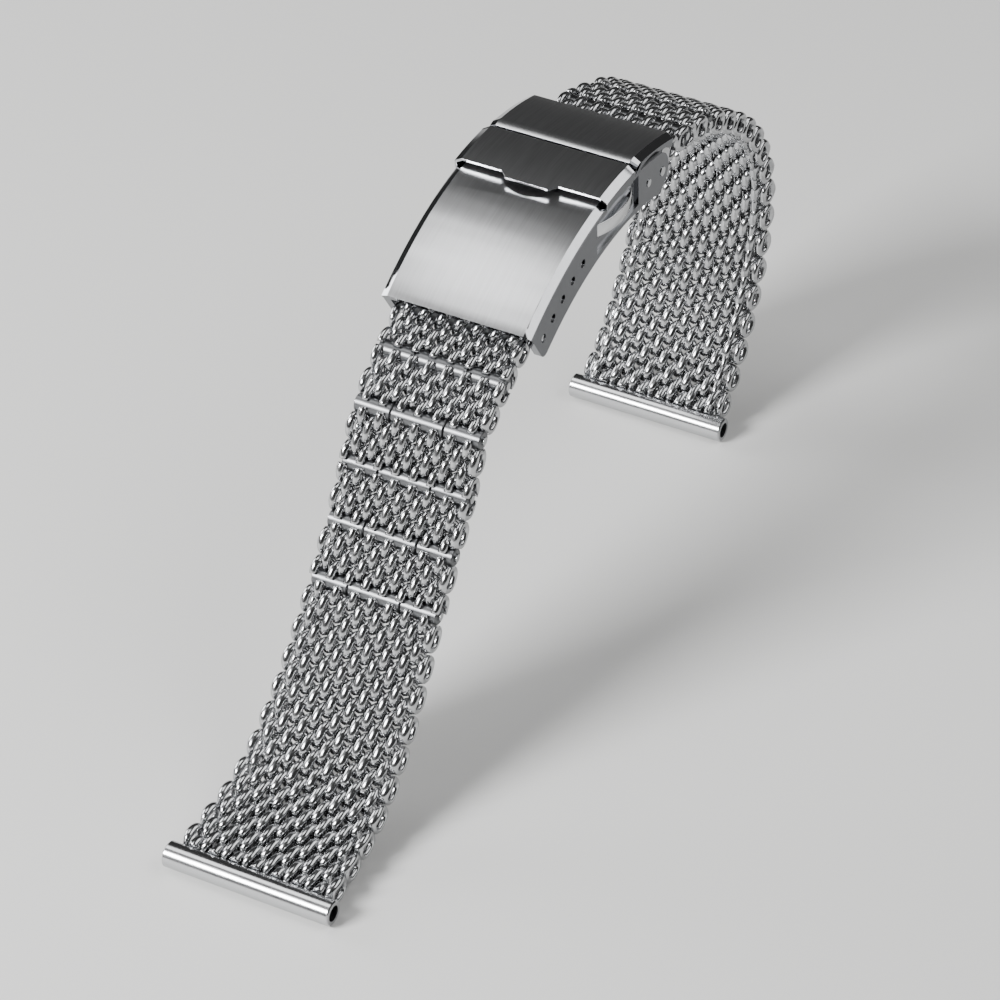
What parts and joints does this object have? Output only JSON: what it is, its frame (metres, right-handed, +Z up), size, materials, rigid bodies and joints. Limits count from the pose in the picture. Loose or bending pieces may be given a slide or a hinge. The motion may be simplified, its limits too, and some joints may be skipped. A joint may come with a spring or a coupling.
{
  "type": "mesh watch band",
  "caption": "Stainless mesh watch band with a folding push-button clasp and safety flap, open as an arch on its lug tubes.",
  "frame": {"origin": "on the floor under the band, in the middle of its footprint: both lug tubes rest on Z = 0", "axes": "X runs across the band, Y from the lower half (adjusting end) to the upper half, Z up"},
  "size_m": [0.022, 0.1229, 0.0581],
  "materials": {
    "mesh_wire": "polished round steel wire",
    "brushed_clasp": "fine brushing along the band with polished bevels and sides",
    "lug_tube": "polished tube",
    "blade_sheet": "satin sheet",
    "polished_button": "polished",
    "spring_wire": "drawn spring wire",
    "pin_steel": "turned and polished"
  },
  "bodies": {
    "clasp_cover": {"clasp_cover": "brushed_clasp", "end_block": "brushed_clasp", "block_rivet_right": "pin_steel", "block_rivet_left": "pin_steel", "blade_pin": "pin_steel", "button_spring": "spring_wire", "adjust_bar_barrel": "pin_steel", "adjust_bar_spring": "spring_wire"},
    "safety_flap": {"safety_flap": "brushed_clasp", "flap_pin": "pin_steel"},
    "button_right": {"button_right": "polished_button"},
    "button_left": {"button_left": "polished_button"},
    "middle_blade": {"middle_blade": "blade_sheet"},
    "lower_blade": {"lower_blade": "blade_sheet", "fold_pin": "pin_steel", "rear_bar_barrel": "pin_steel", "rear_bar_spring": "spring_wire"},
    "adjust_bar_tip_right": {"adjust_bar_tip_right": "pin_steel"},
    "adjust_bar_tip_left": {"adjust_bar_tip_left": "pin_steel"},
    "rear_bar_tip_right": {"rear_bar_tip_right": "pin_steel"},
    "rear_bar_tip_left": {"rear_bar_tip_left": "pin_steel"},
    "front_link_1": {"front_link_1": "mesh_wire"},
    "front_link_2": {"front_link_2": "mesh_wire", "front_pin_1": "pin_steel"},
    "front_link_3": {"front_link_3": "mesh_wire", "front_pin_2": "pin_steel"},
    "front_link_4": {"front_link_4": "mesh_wire", "front_pin_3": "pin_steel"},
    "front_link_5": {"front_link_5": "mesh_wire", "front_pin_4": "pin_steel"},
    "front_mesh_1": {"front_mesh_1": "mesh_wire", "front_pin_5": "pin_steel"},
    "front_mesh_2": {"front_mesh_2": "mesh_wire"},
    "front_mesh_3": {"front_mesh_3": "mesh_wire"},
    "front_mesh_4": {"front_mesh_4": "mesh_wire"},
    "front_mesh_5": {"front_mesh_5": "mesh_wire"},
    "front_lug_end": {"front_lug_end": "lug_tube"},
    "rear_link_1": {"rear_link_1": "mesh_wire"},
    "rear_link_2": {"rear_link_2": "mesh_wire", "rear_pin_1": "pin_steel"},
    "rear_mesh_1": {"rear_mesh_1": "mesh_wire", "rear_pin_2": "pin_steel"},
    "rear_mesh_2": {"rear_mesh_2": "mesh_wire"},
    "rear_mesh_3": {"rear_mesh_3": "mesh_wire"},
    "rear_mesh_4": {"rear_mesh_4": "mesh_wire"},
    "rear_mesh_5": {"rear_mesh_5": "mesh_wire"},
    "rear_mesh_6": {"rear_mesh_6": "mesh_wire"},
    "rear_mesh_7": {"rear_mesh_7": "mesh_wire"},
    "rear_mesh_8": {"rear_mesh_8": "mesh_wire"},
    "rear_lug_end": {"rear_lug_end": "lug_tube"}
  },
  "joints": [
    {"name": "flap_hinge", "type": "hinge", "parent": "clasp_cover", "child": "safety_flap", "pos_m": [0, 0.0166, 0.05693], "axis": [-1, 0, 0], "range_deg": [0, 100]},
    {"name": "button_right_slide", "type": "slide", "parent": "clasp_cover", "child": "button_right", "axis": [-1, 0, 0], "range_m": [0, 0.0008], "stiffness_N_per_m": 300, "springref_m": -0.0008},
    {"name": "button_left_slide", "type": "slide", "parent": "clasp_cover", "child": "button_left", "axis": [1, 0, 0], "range_m": [0, 0.0008], "stiffness_N_per_m": 300, "springref_m": -0.0008},
    {"name": "adjust_tip_right_slide", "type": "slide", "parent": "clasp_cover", "child": "adjust_bar_tip_right", "axis": [-1, 0, 0], "range_m": [0, 0.0009], "stiffness_N_per_m": 400, "springref_m": -0.001},
    {"name": "adjust_tip_left_slide", "type": "slide", "parent": "clasp_cover", "child": "adjust_bar_tip_left", "axis": [1, 0, 0], "range_m": [0, 0.0009], "stiffness_N_per_m": 400, "springref_m": -0.001},
    {"name": "middle_blade_hinge", "type": "hinge", "parent": "clasp_cover", "child": "middle_blade", "pos_m": [0, 0.02535, 0.05259], "axis": [1, 0, 0], "range_deg": [0, 165]},
    {"name": "lower_blade_hinge", "type": "hinge", "parent": "middle_blade", "child": "lower_blade", "pos_m": [0, 0.00731, 0.05217], "axis": [1, 0, 0], "range_deg": [-165, 0]},
    {"name": "rear_tip_right_slide", "type": "slide", "parent": "lower_blade", "child": "rear_bar_tip_right", "axis": [-1, 0, 0], "range_m": [0, 0.0009], "stiffness_N_per_m": 400, "springref_m": -0.001},
    {"name": "rear_tip_left_slide", "type": "slide", "parent": "lower_blade", "child": "rear_bar_tip_left", "axis": [1, 0, 0], "range_m": [0, 0.0009], "stiffness_N_per_m": 400, "springref_m": -0.001},
    {"name": "front_link_1_hinge", "type": "hinge", "parent": "clasp_cover", "child": "front_link_1", "pos_m": [0, -0.00594, 0.04765], "axis": [1, 0, 0], "range_deg": [-12, 14]},
    {"name": "front_link_2_hinge", "type": "hinge", "parent": "front_link_1", "child": "front_link_2", "pos_m": [0, -0.01217, 0.04424], "axis": [1, 0, 0], "range_deg": [-12, 14]},
    {"name": "front_link_3_hinge", "type": "hinge", "parent": "front_link_2", "child": "front_link_3", "pos_m": [0, -0.01797, 0.04014], "axis": [1, 0, 0], "range_deg": [-12, 14]},
    {"name": "front_link_4_hinge", "type": "hinge", "parent": "front_link_3", "child": "front_link_4", "pos_m": [0, -0.02112, 0.03378], "axis": [1, 0, 0], "range_deg": [-12, 14]},
    {"name": "front_link_5_hinge", "type": "hinge", "parent": "front_link_4", "child": "front_link_5", "pos_m": [0, -0.02486, 0.02775], "axis": [1, 0, 0], "range_deg": [-12, 14]},
    {"name": "front_mesh_1_hinge", "type": "hinge", "parent": "front_link_5", "child": "front_mesh_1", "pos_m": [0, -0.02896, 0.02195], "axis": [1, 0, 0], "range_deg": [-12, 14]},
    {"name": "front_mesh_2_hinge", "type": "hinge", "parent": "front_mesh_1", "child": "front_mesh_2", "pos_m": [0, -0.03322, 0.01594], "axis": [1, 0, 0], "range_deg": [-12, 14]},
    {"name": "front_mesh_3_hinge", "type": "hinge", "parent": "front_mesh_2", "child": "front_mesh_3", "pos_m": [0, -0.03787, 0.01025], "axis": [1, 0, 0], "range_deg": [-12, 14]},
    {"name": "front_mesh_4_hinge", "type": "hinge", "parent": "front_mesh_3", "child": "front_mesh_4", "pos_m": [0, -0.0434, 0.00541], "axis": [1, 0, 0], "range_deg": [-12, 14]},
    {"name": "front_mesh_5_hinge", "type": "hinge", "parent": "front_mesh_4", "child": "front_mesh_5", "pos_m": [0, -0.05016, 0.00266], "axis": [1, 0, 0], "range_deg": [-12, 14]},
    {"name": "front_lug_end_hinge", "type": "hinge", "parent": "front_mesh_5", "child": "front_lug_end", "pos_m": [0, -0.05747, 0.0018], "axis": [1, 0, 0], "range_deg": [-12, 14]},
    {"name": "rear_link_1_hinge", "type": "hinge", "parent": "lower_blade", "child": "rear_link_1", "pos_m": [0, 0.02831, 0.05255], "axis": [-1, 0, 0], "range_deg": [-12, 14]},
    {"name": "rear_link_2_hinge", "type": "hinge", "parent": "rear_link_1", "child": "rear_link_2", "pos_m": [0, 0.03532, 0.05144], "axis": [-1, 0, 0], "range_deg": [-12, 14]},
    {"name": "rear_mesh_1_hinge", "type": "hinge", "parent": "rear_link_2", "child": "rear_mesh_1", "pos_m": [0, 0.04208, 0.04925], "axis": [-1, 0, 0], "range_deg": [-12, 14]},
    {"name": "rear_mesh_2_hinge", "type": "hinge", "parent": "rear_mesh_1", "child": "rear_mesh_2", "pos_m": [0, 0.0486, 0.04587], "axis": [-1, 0, 0], "range_deg": [-12, 14]},
    {"name": "rear_mesh_3_hinge", "type": "hinge", "parent": "rear_mesh_2", "child": "rear_mesh_3", "pos_m": [0, 0.05431, 0.04125], "axis": [-1, 0, 0], "range_deg": [-12, 14]},
    {"name": "rear_mesh_4_hinge", "type": "hinge", "parent": "rear_mesh_3", "child": "rear_mesh_4", "pos_m": [0, 0.05841, 0.03518], "axis": [-1, 0, 0], "range_deg": [-12, 14]},
    {"name": "rear_mesh_5_hinge", "type": "hinge", "parent": "rear_mesh_4", "child": "rear_mesh_5", "pos_m": [0, 0.05978, 0.02801], "axis": [-1, 0, 0], "range_deg": [-12, 14]},
    {"name": "rear_mesh_6_hinge", "type": "hinge", "parent": "rear_mesh_5", "child": "rear_mesh_6", "pos_m": [0, 0.05839, 0.02081], "axis": [-1, 0, 0], "range_deg": [-12, 14]},
    {"name": "rear_mesh_7_hinge", "type": "hinge", "parent": "rear_mesh_6", "child": "rear_mesh_7", "pos_m": [0, 0.05537, 0.0141], "axis": [-1, 0, 0], "range_deg": [-12, 14]},
    {"name": "rear_mesh_8_hinge", "type": "hinge", "parent": "rear_mesh_7", "child": "rear_mesh_8", "pos_m": [0, 0.05132, 0.00797], "axis": [-1, 0, 0], "range_deg": [-12, 14]},
    {"name": "rear_lug_end_hinge", "type": "hinge", "parent": "rear_mesh_8", "child": "rear_lug_end", "pos_m": [0, 0.04596, 0.00296], "axis": [-1, 0, 0], "range_deg": [-12, 14]}
  ],
  "couplings": [
    {"joint": "lower_blade_hinge", "follows": "middle_blade_hinge", "ratio": -1}
  ]
}
